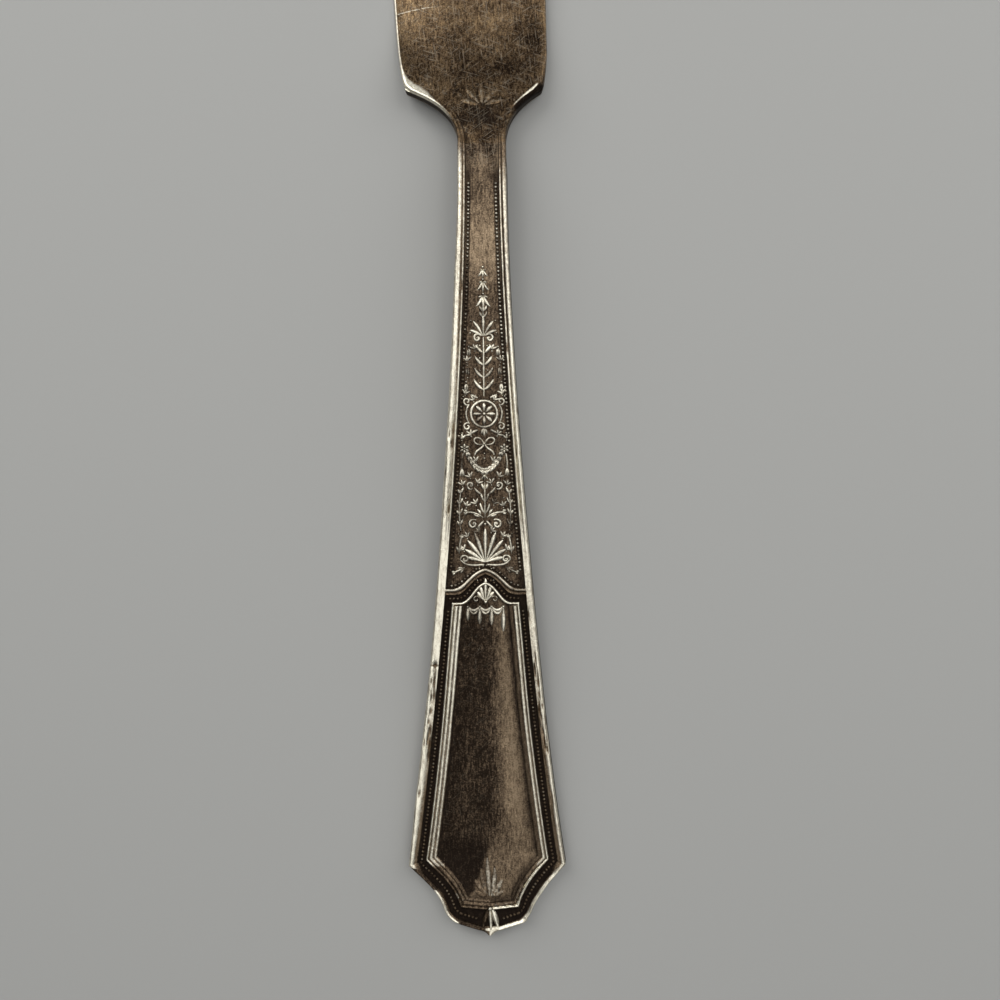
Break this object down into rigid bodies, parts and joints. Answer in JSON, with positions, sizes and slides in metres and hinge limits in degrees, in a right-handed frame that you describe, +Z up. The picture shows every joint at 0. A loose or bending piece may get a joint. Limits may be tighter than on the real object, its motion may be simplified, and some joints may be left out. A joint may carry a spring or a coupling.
{
  "type": "butter knife",
  "caption": "Flat-handled table butter knife with a broad blunt blade, an arched die-struck handle with beaded rims and an ogee-headed panel, and a waisted end.",
  "frame": {"origin": "on the table plane, under the middle of the knife's overall box as it lies with its struck face up", "axes": "+Y along the knife from the handle's end to the blade's point, +X to the blade's back, +Z up out of the struck face"},
  "size_m": [0.0212, 0.178, 0.0067],
  "materials": {
    "blade_plate": "silver-plated nickel silver, satin, evenly tarnished brown-grey with a bright edge",
    "handle_plate": "silver-plated nickel silver, rims worn bright, hollows tarnished brown-black"
  },
  "bodies": {
    "root": {"blade": "blade_plate", "handle": "handle_plate"}
  },
  "joints": []
}
